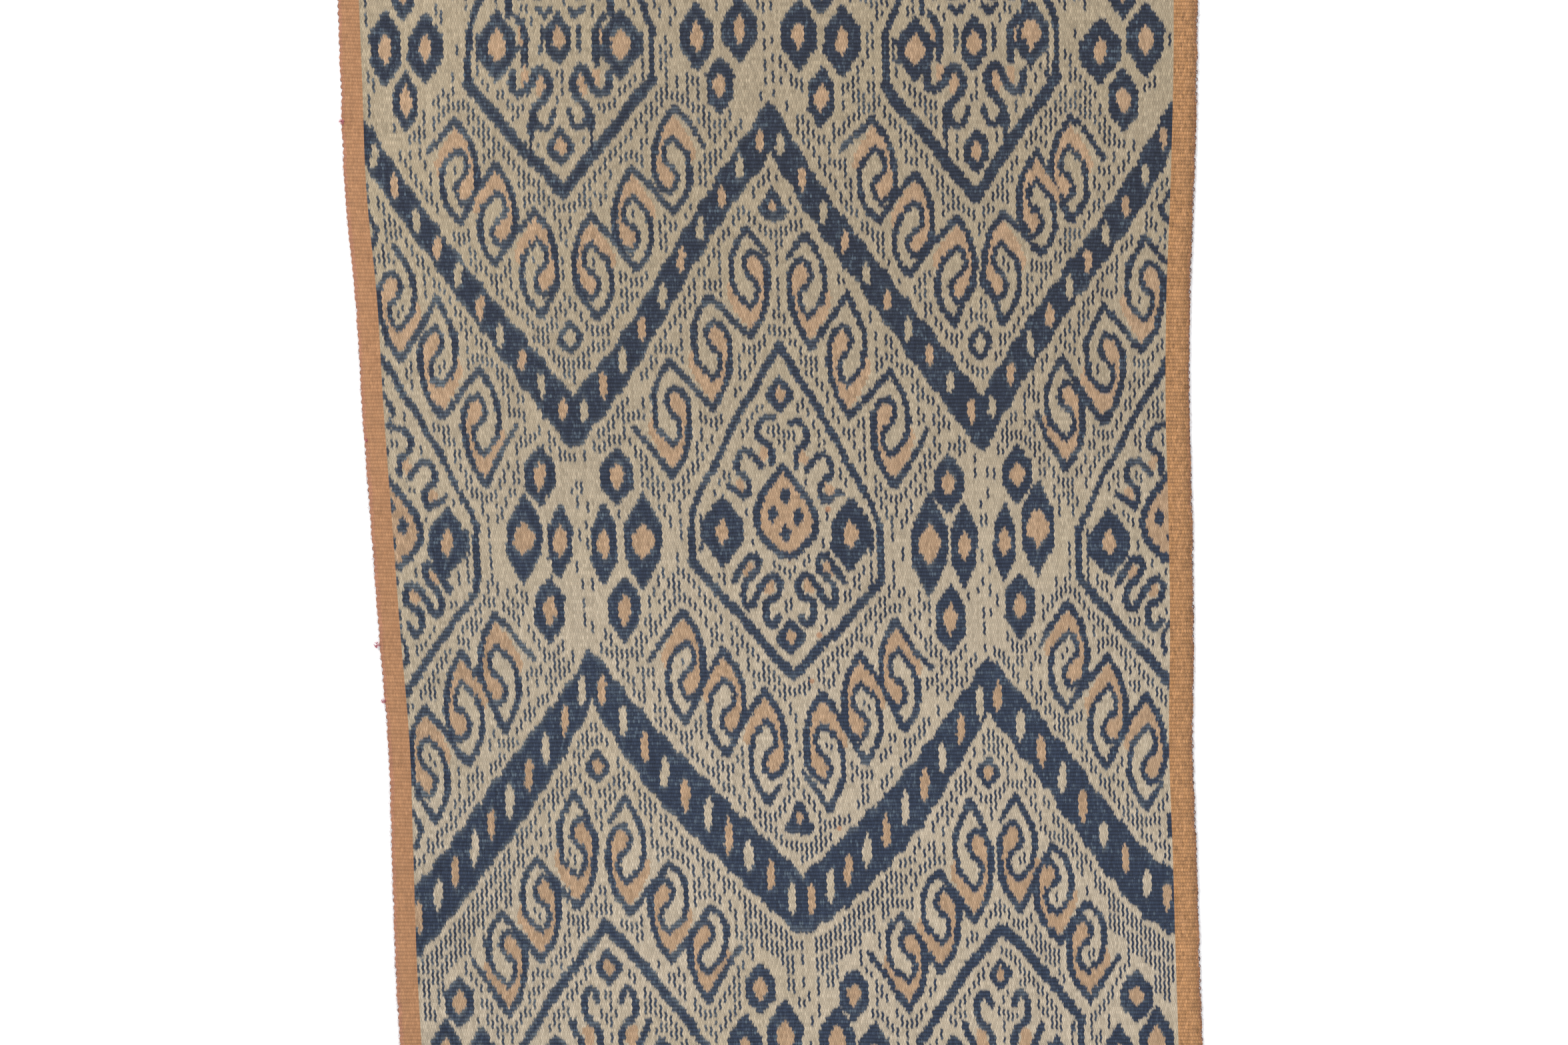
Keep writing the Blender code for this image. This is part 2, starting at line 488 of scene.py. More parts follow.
TOP_TAILS = [(10, INK, (72, 110), (74, 128), (66, 141), (53, 137), (44, 124), (38, 108), (31, 101), (21, 110), (17, 126), (22, 143), (34, 156), (43, 166), (45, 192)),
               (3, INK, (45, 192), (45, 234)),
               (6, INK, (38, 179), (33, 191), (25, 194), (16, 186), (12, 165)),
               (11, TAN, (32, 116), (31, 138)),
               (9, TAN, (53, 108), (54, 124))]
FOOT_SCROLLS = [(8, INK, (18, 1502), (22, 1486), (32, 1484), (39, 1500), (39, 1520), (30, 1533), (19, 1540), (15, 1562), (15, 1574)),
                (8, INK, (58, 1532), (52, 1550), (43, 1568), (41, 1580)),
                (14, TAN, (33, 1546), (32, 1562))]
# where each set goes: its y shift, the mirror line (0 to 4) and the halves that show
SCROLL_PLACES = [(UPPER_SCROLLS, -8, 2, (-1,)), (UPPER_SCROLLS, 0, 2, (1,)), (LOWER_SCROLLS, 0, 2, (-1, 1)),
                 (UPPER_SCROLLS, 10, 0, (1,)), (LOWER_SCROLLS, 14, 0, (1,)),
                 (UPPER_SCROLLS, 6, 4, (-1,)), (LOWER_SCROLLS, 4, 4, (-1,)),
                 (TOP_SCROLLS, 0, 1, (-1, 1)), (TOP_SCROLLS, -4, 3, (-1, 1)),
                 (TOP_TAILS, 0, 1, (-1, 1)), (TOP_TAILS, -4, 3, (-1, 1)),
                 (TOP_TAILS, REPEAT, 1, (-1, 1)), (TOP_TAILS, REPEAT, 3, (-1, 1)),
                 (FOOT_SCROLLS, -REPEAT, 1, (-1, 1)), (FOOT_SCROLLS, -REPEAT, 3, (-1, 1)),
                 (FOOT_SCROLLS, 0, 1, (-1, 1)), (FOOT_SCROLLS, 6, 3, (-1, 1))]
CORE_PLACES = [(0, 2), (14, 0), (6, 4)]
OUTER_LINES = [(0, 573, 607, 538, 1042), (4, 1757, 1752, 530, 1025)]


def mirror_x(line, y):
    """Chart x of mirror line 0 to 4. Lines 0 and 4 run in the border stripes."""
    if line == 0:
        return np.interp(y, [538, 1042], [570, 603])
    if line == 4:
        return np.interp(y, [530, 1030], [1762, 1757])
    return float(lines_at(float(y))[line])


def scrolls():
    for shapes, dy, line, halves in SCROLL_PLACES:
        open_rows[1] = 0 if dy == -REPEAT else ROW1
        for half in halves:
            for pass_dye in (TAN, INK):
                for width, dye, *pts in shapes:
                    if dye != pass_dye:
                        continue
                    p = [(mirror_x(line, y + dy) + half * x, y + dy) for x, y in pts]
                    if dye == INK and len(p) > 3:
                        p = rounded(p)
                    stroke(p, width + (2.5 if dye == INK else 3), dye)
    open_rows[1] = ROW1
    for dy, line in CORE_PLACES:
        p = [(mirror_x(line, y + dy) + x, y + dy) for x, y in CORE]
        fill(p, TAN)
        stroke(rounded(p + [p[0]]) + [p[0]], 10.5)
        for x, y in CORE_SPOTS:
            spindle(mirror_x(line, y + dy) + x, y + dy, 16, 27, 1.8)


# Buds between the hooks' outer tips, from the tip down: one rounded, one with a flat foot.
ROUND_BUD = [(-2, -2), (8, 10), (13, 22), (20, 29), (24, 37), (15, 46), (2, 52), (-10, 48), (-19, 38), (-23, 26), (-15, 18), (-10, 9)]
FLAT_BUD = [(-1, 0), (8, 11), (12, 22), (15, 33), (24, 39), (24, 48), (5, 55), (-19, 49), (-23, 40), (-16, 33), (-13, 22), (-9, 11)]


def small_marks():
    for x, y, s, h in [(553, 345, 1, 28), (620, 1245, 1, 26)]:
        stroke([(x, y - h), (x + 13 * s, y), (x + 3 * s, y + h)], 8)
    stroke([(1755, 290), (1740, 315), (1755, 337)], 8)
    stroke([(1756, 1225), (1755, 1255)], 8)
    stroke([(575, 590), (590, 620), (580, 640)], 7)
    stroke([(600, 955), (610, 970), (610, 990), (603, 1000)], 7)
    stroke([(1755, 935), (1743, 955), (1748, 980)], 7)
    for x, y, dy, bud, eye_tall in [(1160, 283, 0, ROUND_BUD, 19), (1199, 1200, 0, FLAT_BUD, 23),
                                    (1160, 283, REPEAT, ROUND_BUD, 19), (1199, 1200, -REPEAT, FLAT_BUD, 23)]:
        x, y = along(x, y, dy)
        fill([(x + a, y + b) for a, b in bud])
        spindle(x - 1, y + 28, 12, eye_tall, 2, TAN)


def draw_all():
    zigzag(ZIG_ONE, 0, 0)
    zigzag(ZIG_TWO, 0, 1)
    zigzag(ZIG_ONE, REPEAT, 0)
    zigzag(ZIG_TWO, -REPEAT, 1)
    for rows, climbing in ((CHAINS, False), (CLIMBS, True)):
        for k, row in enumerate(rows):
            chain(row, climbing)
            # beyond the middle stretch the design starts again, above and below
            chain(row, climbing, REPEAT if k < 4 else -REPEAT)
    for row in COMPARTMENTS:
        compartment(row)
    for row in EYES:
        eye(*row)
    for x, y, *size in EYES:
        if 100 < y < 240:
            eye(*along(x, y, REPEAT), *size)
        elif 1140 < y < 1484:
            eye(*along(x, y, -REPEAT), *size)
    for x, y, w, h in RINGS:
        almond(x, y, w + 2, h + 2, 0.25)
        almond(x, y, w - 17, h - 20, 0.2, CREAM)
    scrolls()
    small_marks()


draw_all()


# ---------------------------------------------------------------- filling dashes
def distance_to(mask):
    """Chart distance to the mask, on cells one bundle wide and four units tall."""
    h = mask.shape[0] // 4
    m = mask[:h * 4].reshape(h, 4, BUNDLES).any(1)
    d = np.where(m, 0.0, 400.0)
    sx, sy = 3.87, 4.0
    moves = [(0, 1, sx), (1, 0, sy), (1, 1, math.hypot(sx, sy)), (1, -1, math.hypot(sx, sy)),
             (2, 1, math.hypot(sx, 2 * sy)), (2, -1, math.hypot(sx, 2 * sy)),
             (1, 2, math.hypot(2 * sx, sy)), (1, -2, math.hypot(2 * sx, sy))]
    for _ in range(17):
        for a, b, c in moves:
            for s in (1, -1):
                e = np.full_like(d, 400.0)
                ra, rb = s * a, s * b
                e[max(ra, 0):h + min(ra, 0), max(rb, 0):BUNDLES + min(rb, 0)] = \
                    d[max(-ra, 0):h + min(-ra, 0), max(-rb, 0):BUNDLES + min(-rb, 0)] + c
                d = np.minimum(d, e)
    rows = (np.arange(mask.shape[0]) - 1.5) / 4
    i = np.clip(np.floor(rows).astype(int), 0, h - 2)
    f = np.clip(rows - i, 0, 1)[:, None]
    return d[i] * (1 - f) + d[i + 1] * f


# Plainer ground round the groups of eyed lozenges: middle, reach across and along.
QUIET = [(875, 818, 148, 172), (1474, 818, 148, 172), (1157, 20, 150, 210), (588, 40, 130, 200),
         (1705, 40, 120, 200), (1213, 1600, 150, 190), (655, 1600, 120, 170), (1722, 1600, 120, 170)]


# Where longer ties stand close together under the second zigzag, from x to x.
PACKED = [(628, 792), (1112, 1186), (1222, 1346), (1640, 1762)]


def packed_rows():
    """Three rows of longer ties that run along the zigzag's lower edge."""
    used = np.zeros(ink.shape, bool)
    free = ~(ink | tan)
    for b in range(0, BUNDLES, 2):
        for start, end in PACKED:
            x = grid_x[1390 - ROW0, b]
            if not start < x < end:
                continue
            for leg in ZIG_TWO:
                if leg[0] <= x < leg[2]:
                    mid, y, half = band_at(leg, (x - leg[0]) / (leg[2] - leg[0]))
                    low = y + half
            r = int(low - ROW0 + 14 + rng.integers(0, 4))
            for share, room in ((1.0, 2), (0.95, 5), (0.7, 8)):
                tall = int(rng.integers(20, 32))
                if rng.uniform() < share and free[r - room:r + tall + room, b].all():
                    ink[r:r + tall, b] = True
                r += tall + int(rng.integers(5, 9))
            used[int(low - ROW0):r, max(b - 1, 0):b + 2] = True
    return used


def dashes():
    """Short ties, one bundle wide, that follow the motifs round at two or three distances."""
    d = distance_to(ink | tan)
    used = packed_rows()
    phase = 1.6 * soft_noise(d.shape, (70, 60), 11)
    ring = (d + phase - 11.0) / 16.5
    inside = (ring >= 0) & (ring - np.floor(ring) < 0.5)
    calm = soft_noise(d.shape, (90, 50), 12)
    quiet = np.ones(d.shape)
    for x, y, rx, ry in QUIET:
        quiet = np.where(np.abs(grid_x - x) / rx + np.abs(grid_y - y) / ry < 1, 0.22, quiet)
    for b in range(BUNDLES):
        if b % 2:
            continue
        col = inside[:, b]
        edges = np.flatnonzero(np.diff(np.concatenate([[0], col.astype(int), [0]])))
        for r0, r1 in zip(edges[::2], edges[1::2]):
            level = int(max(ring[(r0 + r1) // 2, b], 0))
            keep = (0.94, 0.80, 0.54, 0.32, 0.20)[min(level, 4)]
            pos = r0 - rng.integers(0, 4)
            while pos < r1 - 2:
                tall = int(rng.integers(12, 22))
                end = min(pos + tall, r1 + 4)
                if end - pos < 8:
                    end = pos + 8
                at = min(max(pos, 0), d.shape[0] - 1)
                if rng.uniform() < (keep + 0.15 * calm[at, b]) * quiet[at, b] and not used[at, b]:
                    ink[max(pos, 0):end, b] = True
                pos = end + int(rng.integers(5, 10))
    # single ties stand in a file on both sides of each mirror line
    drawn = ink | tan
    for line in (80, 160, 240):
        for b in (line - 2, line + 1):
            pos = int(rng.integers(0, 20))
            while pos < d.shape[0] - 30:
                tall = int(rng.integers(11, 19))
                if rng.uniform() < 0.75 and not drawn[max(pos - 7, 0):pos + tall + 7, b - 1:b + 2].any():
                    ink[pos:pos + tall, b] = True
                pos += tall + int(rng.integers(9, 20))


dashes()


# ---------------------------------------------------------------- the sheet
def along_distance(mask, most=14.0):
    """Signed distance along each bundle to where the mask starts or stops, plus inside."""
    n = mask.shape[0]
    gap = np.full(mask.shape, most)
    run = np.full(mask.shape[1], most)
    change = np.zeros(mask.shape, bool)
    change[1:] = mask[1:] != mask[:-1]
    for r in range(n):
        run = np.where(change[r], 0.5, np.minimum(run + 1, most))
        gap[r] = run
    run = np.full(mask.shape[1], most)
    for r in range(n - 1, -1, -1):
        gap[r] = np.minimum(gap[r], run + 0.0)
        run = np.where(change[r], 0.5, np.minimum(run + 1, most))
    return np.where(mask, gap, -gap)


row_y = np.linspace(TOP_Y, END_Y, ROWS + 1)
sample = np.clip((row_y - ROW0).round().astype(int), 0, ink.shape[0] - 1)
ink_row = along_distance(ink)[sample]
tan_row = along_distance(tan)[sample]


def sheet_mesh():
    n_rows = ROWS + 1
    left, right = outer_edges(row_y)
    scallop = 0.9 * np.sin(row_y * 2 * math.pi / (2 * PICK * 1.0))
    left = left + scallop + 1.0 * soft_noise((n_rows, 2), (150, 1), 21)[:, 0]
    right = right + scallop + 1.3 * soft_noise((n_rows, 2), (170, 1), 22)[:, 0]
    lines = lines_at(row_y)
    u_field = np.arange(FIELD_QUADS + 1) * BUNDLES_A_QUAD
    field = across(u_field[None, :] + 0.0, row_y[:, None] + 0.0 * u_field[None, :])
    cols = np.concatenate([left[:, None], ((left + lines[0]) / 2)[:, None], field,
                           ((right + lines[4]) / 2)[:, None], right[:, None]], 1)
    n_cols = cols.shape[1]
    wx = (cols - CHART_X) * UNIT
    wy = (CHART_Y - row_y)[:, None] * UNIT + 0 * wx
    lift = 0.0009 * np.maximum(soft_noise(wx.shape, (9, 4), 31) - 0.15, 0)
    edge = np.minimum(np.arange(n_cols), n_cols - 1 - np.arange(n_cols))[None, :]
    lift = lift * np.clip(edge / 4.0 + 0.35, 0, 1)
    body = THICKNESS - 0.00012 + 0.00008 * soft_noise(wx.shape, (60, 30), 33)
    top = np.stack([wx, wy, lift + body], -1).reshape(-1, 3)
    low = np.stack([wx, wy, lift], -1).reshape(-1, 3)
    verts = np.concatenate([top, low])
    N = n_rows * n_cols
    V = (row_y[:, None] - TOP_Y + 3.0 * soft_noise(wx.shape, (12, 6), 35)) / PICK

    r, c = np.meshgrid(np.arange(ROWS), np.arange(n_cols - 1), indexing="ij")
    r, c = r.ravel(), c.ravel()
    faces, rows_of, cols_of, quads = [], [], [], []

    def add(rr, cc, under, q):
        """Corner arrays of many quads: row and column of each corner, whether it is on the underside, and the quad's column."""
        faces.append(np.stack([a * n_cols + b + N * u for a, b, u in zip(rr, cc, under)], -1))
        rows_of.append(np.stack(rr, -1))
        cols_of.append(np.stack(cc, -1))
        quads.append(q)

    add([r + 1, r + 1, r, r], [c, c + 1, c + 1, c], [0, 0, 0, 0], c)
    add([r, r, r + 1, r + 1], [c, c + 1, c + 1, c], [1, 1, 1, 1], c)
    rr = np.arange(ROWS)
    z = np.zeros_like(rr)
    add([rr, rr, rr + 1, rr + 1], [z, z, z, z], [0, 1, 1, 0], z)
    e = z + n_cols - 1
    add([rr, rr + 1, rr + 1, rr], [e, e, e, e], [0, 0, 1, 1], e - 1)
    cc = np.arange(n_cols - 1)
    z = np.zeros_like(cc)
    add([z, z, z, z], [cc, cc + 1, cc + 1, cc], [0, 0, 1, 1], cc)
    e = z + ROWS
    add([e, e, e, e], [cc, cc, cc + 1, cc + 1], [0, 1, 1, 0], cc)
    sizes = [len(f) for f in faces]
    F = np.concatenate(faces)
    FR = np.concatenate(rows_of)
    FC = np.concatenate(cols_of)
    Q = np.concatenate(quads)

    me = bpy.data.meshes.new("ikat_cloth")
    me.from_pydata(verts.tolist(), [], F.tolist())
    me.update()

    # position across in warps: 0 to 16 in each field quad, from the outer edge in a stripe
    side_left, side_right = Q < 2, Q >= n_cols - 3
    is_right_corner = (FC > Q[:, None])
    u = np.where(is_right_corner, 15.5, -0.5)
    from_left = FC * LEFT_WARPS / 2
    from_right = (n_cols - 1 - FC) * RIGHT_WARPS / 2
    u = np.where(side_left[:, None], from_left, u)
    u = np.where(side_right[:, None], from_right, u)
    v = V[FR, FC]
    weave = me.uv_layers.new(name="weave")
    weave.data.foreach_set("uv", np.stack([u, v], -1).astype(np.float32).ravel())

    # map for the bake: the face on the left half, the underside on the right
    xs = (verts[:, 0] + 0.245) / 0.49
    ys = (verts[:, 1] + 0.482) / 0.964
    bx, by = xs[F] * 0.49 + 0.003, ys[F] * 0.996 + 0.002
    a, b = sizes[0], sizes[0] + sizes[1]
    bx[a:b] = 0.997 - xs[F[a:b]] * 0.49
    k = b
    for n, base in zip(sizes[2:4], (0.4965, 0.5005)):
        low_side = F[k:k + n] >= N
        bx[k:k + n] = base + 0.0028 * low_side
        k += n
    for n, base in zip(sizes[4:], (0.9985, 0.0)):
        low_side = F[k:k + n] >= N
        by[k:k + n] = base + 0.0012 * low_side
        k += n
    bake = me.uv_layers.new(name="OFBake")
    bake.data.foreach_set("uv", np.stack([bx, by], -1).astype(np.float32).ravel())

    fq = np.clip(Q - 2, 0, FIELD_QUADS - 1)
    number = me.attributes.new("first_warp", "FLOAT", "CORNER")
    base = np.where(side_left, 1000, np.where(side_right, 2000, fq * 16)).astype(np.float32)
    number.data.foreach_set("value", np.repeat(base, 4))
    side = me.attributes.new("right_side", "FLOAT", "CORNER")
    side.data.foreach_set("value", np.repeat(side_right.astype(np.float32), 4))
    place = me.attributes.new("chart", "FLOAT_VECTOR", "CORNER")
    P = np.stack([cols[FR, FC], row_y[FR], np.zeros(FR.shape)], -1).astype(np.float32)
    place.data.foreach_set("vector", P.ravel())

    near = np.clip(fq[:, None] * BUNDLES_A_QUAD - 1 + np.arange(12)[None, :], 0, BUNDLES - 1)
    for name, rows in (("ink", ink_row), ("tan", tan_row)):
        values = rows[FR[:, :, None], near[:, None, :]].astype(np.float32)
        for part in range(4):
            at = me.attributes.new(f"{name}_{part}", "FLOAT_VECTOR", "CORNER")
            at.data.foreach_set("vector", values[:, :, part * 3:part * 3 + 3].ravel())

    me.polygons.foreach_set("material_index", (side_left | side_right).astype(np.int32))
    me.polygons.foreach_set("use_smooth", np.ones(len(F), bool))
    ob = bpy.data.objects.new("ikat_cloth", me)
    bpy.context.scene.collection.objects.link(ob)
    return ob


# ---------------------------------------------------------------- materials
def linear(rgb):
    """Linear colour of an 0 to 255 screen colour."""
    c = np.asarray(rgb, float) / 255
    c = np.where(c <= 0.04045, c / 12.92, ((c + 0.055) / 1.055) ** 2.4)
    return (*[float(v) for v in c / LIGHT_LEVEL], 1.0)


LIGHT_LEVEL = 1.32


class Graph:
    """Short names for the shader nodes used here. An input is a number, a tuple or another node's output."""

    def __init__(self, name):
        self.material = bpy.data.materials.new(name)
        self.material.use_nodes = True
        self.tree = self.material.node_tree
        self.tree.nodes.clear()
        self.out = self.tree.nodes.new("ShaderNodeOutputMaterial")
        self.shader = self.tree.nodes.new("ShaderNodeBsdfPrincipled")
        self.tree.links.new(self.shader.outputs[0], self.out.inputs[0])

    def wire(self, value, socket):
        if isinstance(value, bpy.types.NodeSocket):
            self.tree.links.new(value, socket)
        elif value is not None:
            socket.default_value = value

    def math(self, op, *values, clamp=False):
        n = self.tree.nodes.new("ShaderNodeMath")
        n.operation, n.use_clamp = op, clamp
        for k, v in enumerate(values):
            self.wire(v, n.inputs[k])
        return n.outputs[0]

    def add(self, a, b): return self.math("ADD", a, b)
    def sub(self, a, b): return self.math("SUBTRACT", a, b)
    def mul(self, a, b): return self.math("MULTIPLY", a, b)

    def vector(self, op, a, b):
        n = self.tree.nodes.new("ShaderNodeVectorMath")
        n.operation = op
        self.wire(a, n.inputs[0])
        self.wire(b, n.inputs[1])
        return n.outputs["Value"] if op == "DOT_PRODUCT" else n.outputs[0]

    def combine(self, x, y, z=0.0):
        n = self.tree.nodes.new("ShaderNodeCombineXYZ")
        for k, v in enumerate((x, y, z)):
            self.wire(v, n.inputs[k])
        return n.outputs[0]

    def split(self, v):
        n = self.tree.nodes.new("ShaderNodeSeparateXYZ")
        self.wire(v, n.inputs[0])
        return n.outputs

    def attribute(self, name):
        n = self.tree.nodes.new("ShaderNodeAttribute")
        n.attribute_name = name
        return n

    def uv(self, name):
        n = self.tree.nodes.new("ShaderNodeUVMap")
        n.uv_map = name
        return n.outputs[0]

    def mix(self, f, a, b, blend="MIX"):
        n = self.tree.nodes.new("ShaderNodeMix")
        n.data_type, n.blend_type = "RGBA", blend
        self.wire(f, n.inputs[0])
        self.wire(a, n.inputs[6])
        self.wire(b, n.inputs[7])
        return n.outputs[2]

    def blend(self, f, a, b):
        n = self.tree.nodes.new("ShaderNodeMix")
        n.data_type = "FLOAT"
        self.wire(f, n.inputs[0])
        self.wire(a, n.inputs[2])
        self.wire(b, n.inputs[3])
        return n.outputs[0]

    def ramp(self, value, a, b, lo=0.0, hi=1.0, smooth=True):
        n = self.tree.nodes.new("ShaderNodeMapRange")
        n.interpolation_type = "SMOOTHSTEP" if smooth else "LINEAR"
        self.wire(value, n.inputs[0])
        for k, v in enumerate((a, b, lo, hi)):
            self.wire(v, n.inputs[k + 1])
        return n.outputs[0]

    def noise(self, vector, scale, detail=2.0, rough=0.5):
        n = self.tree.nodes.new("ShaderNodeTexNoise")
        n.noise_dimensions = "2D"
        self.wire(vector, n.inputs["Vector"])
        n.inputs["Scale"].default_value = scale
        n.inputs["Detail"].default_value = detail
        n.inputs["Roughness"].default_value = rough
        return n.outputs[0]

    def white(self, vector):
        n = self.tree.nodes.new("ShaderNodeTexWhiteNoise")
        n.noise_dimensions = "3D"
        self.wire(vector, n.inputs["Vector"])
        return n.outputs["Value"], n.outputs["Color"]


def weave_nodes(g, wide=1.1):
    """Warp-faced plain weave: the visible float at each point. Returns the place across and down in warps and picks,
    the warp's number in its quad, its pick, and the place across and along the float.
    """
    uv = g.split(g.uv("weave"))
    u, v = uv[0], uv[1]
    even_w = g.mul(g.math("ROUND", g.mul(u, 0.5)), 2.0)
    even_p = g.mul(g.math("ROUND", g.mul(v, 0.5)), 2.0)
    odd_w = g.add(g.mul(g.math("ROUND", g.mul(g.sub(u, 1.0), 0.5)), 2.0), 1.0)
    odd_p = g.add(g.mul(g.math("ROUND", g.mul(g.sub(v, 1.0), 0.5)), 2.0), 1.0)
    du, dv = g.math("ABSOLUTE", g.sub(u, even_w)), g.math("ABSOLUTE", g.sub(v, even_p))
    first = g.math("LESS_THAN", g.add(g.mul(du, wide), dv), (wide + 1) / 2)
    warp = g.blend(first, odd_w, even_w)
    pick = g.blend(first, odd_p, even_p)
    x, y = g.sub(u, warp), g.sub(v, pick)
    return u, v, warp, pick, x, y


def cloth_material():
    g = Graph("ikat_field")
    u, v, warp, pick, x, y = weave_nodes(g)
    first = g.attribute("first_warp").outputs["Fac"]
    number = g.add(first, warp)
    k = g.add(g.math("FLOOR", g.mul(warp, 0.5)), 1.0)
    hot = [g.math("COMPARE", k, float(i), 0.4) for i in range(10)] + [0.0, 0.0]
    picks = [g.combine(*hot[i:i + 3]) for i in (0, 3, 6, 9)]
    dye = {}
    for name in ("ink", "tan"):
        total = None
        for part in range(4):
            d = g.vector("DOT_PRODUCT", g.attribute(f"{name}_{part}").outputs["Vector"], picks[part])
            total = d if total is None else g.add(total, d)
        dye[name] = total
    chart = g.attribute("chart").outputs["Vector"]
    chart_xy = g.split(chart)
    # dye creeps a little further along some warps, and stops short on others
    warp_random, warp_colour = g.white(g.combine(number, 7.3, 1.0))
    seed_random, seed_colour = g.white(g.combine(number, pick, 4.0))
    creep = g.noise(g.combine(g.mul(number, 0.83), g.mul(v, 0.22)), 1.0, 2.0)
    push = g.add(0.5, g.add(g.mul(g.sub(creep, 0.5), 5.0), g.mul(g.sub(seed_random, 0.5), 2.2)))
    is_ink = g.ramp(g.add(dye["ink"], push), -2.0, 2.2)
    is_tan = g.ramp(g.add(dye["tan"], push), -1.6, 1.6)
    halo = g.ramp(g.add(dye["ink"], push), -5.5, 0.0, 0.0, 0.24)
    # colours
    age = g.noise(g.vector("MULTIPLY", chart, (0.004, 0.004, 0)), 1.0, 3.0)
    sc = g.split(seed_colour)
    wc = g.split(warp_colour)
    down = g.ramp(g.add(chart_xy[1], g.mul(g.sub(age, 0.5), 500.0)), 250.0, 1250.0)
    cream = g.mix(wc[0], g.mix(down, linear((177, 161, 136)), linear((198, 183, 161))),
                  g.mix(down, linear((160, 144, 120)), linear((180, 165, 143))))
    cream = g.mix(g.mul(sc[1], 0.35), cream, g.mix(down, linear((194, 177, 151)), linear((203, 187, 165))))
    cream = g.mix(g.ramp(age, 0.4, 0.7, 0.0, 0.35), cream, linear((174, 158, 130)))
    brown = g.mix(wc[1], linear((186, 153, 122)), linear((170, 139, 109)))
    brown = g.mix(g.mul(sc[0], 0.4), brown, linear((192, 162, 132)))
    blue = g.mix(wc[2], g.mix(down, linear((38, 44, 59)), linear((40, 50, 69))), g.mix(down, linear((45, 52, 67)), linear((47, 58, 78))))
    band, band_colour = g.white(g.combine(pick, g.math("FLOOR", g.mul(number, 0.06)), 9.0))
    grain, grain_colour = g.white(g.combine(number, g.math("FLOOR", g.add(v, 0.5)), 2.0))
    worn = g.ramp(g.add(g.add(g.mul(sc[2], 0.36), g.mul(grain, 0.44)), g.add(g.mul(band, 0.36), g.mul(g.noise(g.combine(g.mul(number, 0.05), g.mul(v, 0.12)), 1.0, 2.0), 0.22))), 0.70, 1.20)
    # thin lines took the dye less evenly
    thin = g.ramp(dye["ink"], 2.0, 12.0, 1.0, 0.0)
    blue = g.mix(g.mul(worn, g.blend(thin, 0.80, 0.25)), blue, linear((85, 98, 109)))
    faded = g.ramp(g.noise(g.combine(g.mul(chart_xy[0], 0.022), g.mul(chart_xy[1], 0.030)), 1.0, 3.0), 0.5, 0.72)
    # more so towards the left
    fading = g.add(g.mul(faded, 0.40), g.ramp(chart_xy[0], 680.0, 1400.0, 0.26, 0.0))
    blue = g.mix(g.mul(thin, fading), blue, linear((110, 118, 122)))
    colour = g.mix(is_tan, cream, brown)
    colour = g.mix(halo, colour, linear((92, 102, 110)))
    colour = g.mix(is_ink, colour, blue)
    # small rust spots
    for sx, sy, r in RUST:
        off = g.vector("SUBTRACT", chart, (sx, sy, 0.0))
        far = g.vector("DOT_PRODUCT", off, off)
        colour = g.mix(g.ramp(far, r * r * 0.15, r * r, 0.75, 0.0), colour, linear((176, 126, 92)))
    # the round of each float, and dark gaps between that are partly the weft showing through and partly painted shade
    xx, yy = g.mul(x, x), g.mul(y, y)
    round_ = g.sub(1.0, g.add(g.mul(xx, 1.05), g.mul(yy, 0.78)))
    round_ = g.math("MAXIMUM", round_, 0.0)
    gap = g.ramp(round_, 0.04, 0.66)
    dark = g.mix(1.0, colour, g.mix(is_ink, (0.42, 0.35, 0.30, 1), (0.50, 0.52, 0.62, 1)), "MULTIPLY")
    colour = g.mix(gap, dark, colour)
    fibre = g.noise(g.combine(g.mul(u, 6.0), g.mul(v, 1.1)), 1.0, 2.0)
    # painted highlight and shade along each pick row, strongest in the dark blue, with random tone by pick
    line = g.math("COSINE", g.mul(v, 2 * math.pi))
    painted_rib_shade_and_tone = g.add(g.mul(line, g.blend(is_ink, 0.10, 0.42)), g.mul(g.sub(band, 0.5), 0.10))
    # lighter in the upper left and darker in the lower left
    to_right = g.ramp(chart_xy[0], 640.0, 960.0)
    painted_rib_shade_and_tone = g.add(painted_rib_shade_and_tone, g.blend(down, g.blend(to_right, 0.085, -0.035), g.blend(to_right, -0.070, 0.006)))
    value = g.tree.nodes.new("ShaderNodeHueSaturation")
    g.wire(colour, value.inputs["Color"])
    g.wire(g.add(g.add(g.add(0.72, painted_rib_shade_and_tone), g.mul(grain, 0.34)), g.add(g.mul(seed_random, 0.26), g.mul(fibre, 0.20))), value.inputs["Value"])
    g.wire(value.outputs[0], g.shader.inputs["Base Color"])
    g.wire(g.add(0.78, g.mul(fibre, 0.16)), g.shader.inputs["Roughness"])
    g.shader.inputs["Specular IOR Level"].default_value = 0.22
    g.shader.inputs["Sheen Weight"].default_value = 0.10
    g.shader.inputs["Sheen Roughness"].default_value = 0.6
    rib = g.math("COSINE", g.mul(v, 2 * math.pi))
    height = g.add(g.mul(round_, 1.0), g.add(g.mul(rib, 0.05), g.mul(fibre, 0.18)))
    bump = g.tree.nodes.new("ShaderNodeBump")
    bump.inputs["Strength"].default_value = 0.55
    bump.inputs["Distance"].default_value = 0.00035
    g.wire(height, bump.inputs["Height"])
    g.wire(bump.outputs[0], g.shader.inputs["Normal"])
    return g.material


# Small rust spots: x, y and radius in chart units.
RUST = [(1229, 953, 6), (1218, 1022, 5), (1242, 764, 6), (1259, 1243, 5)]


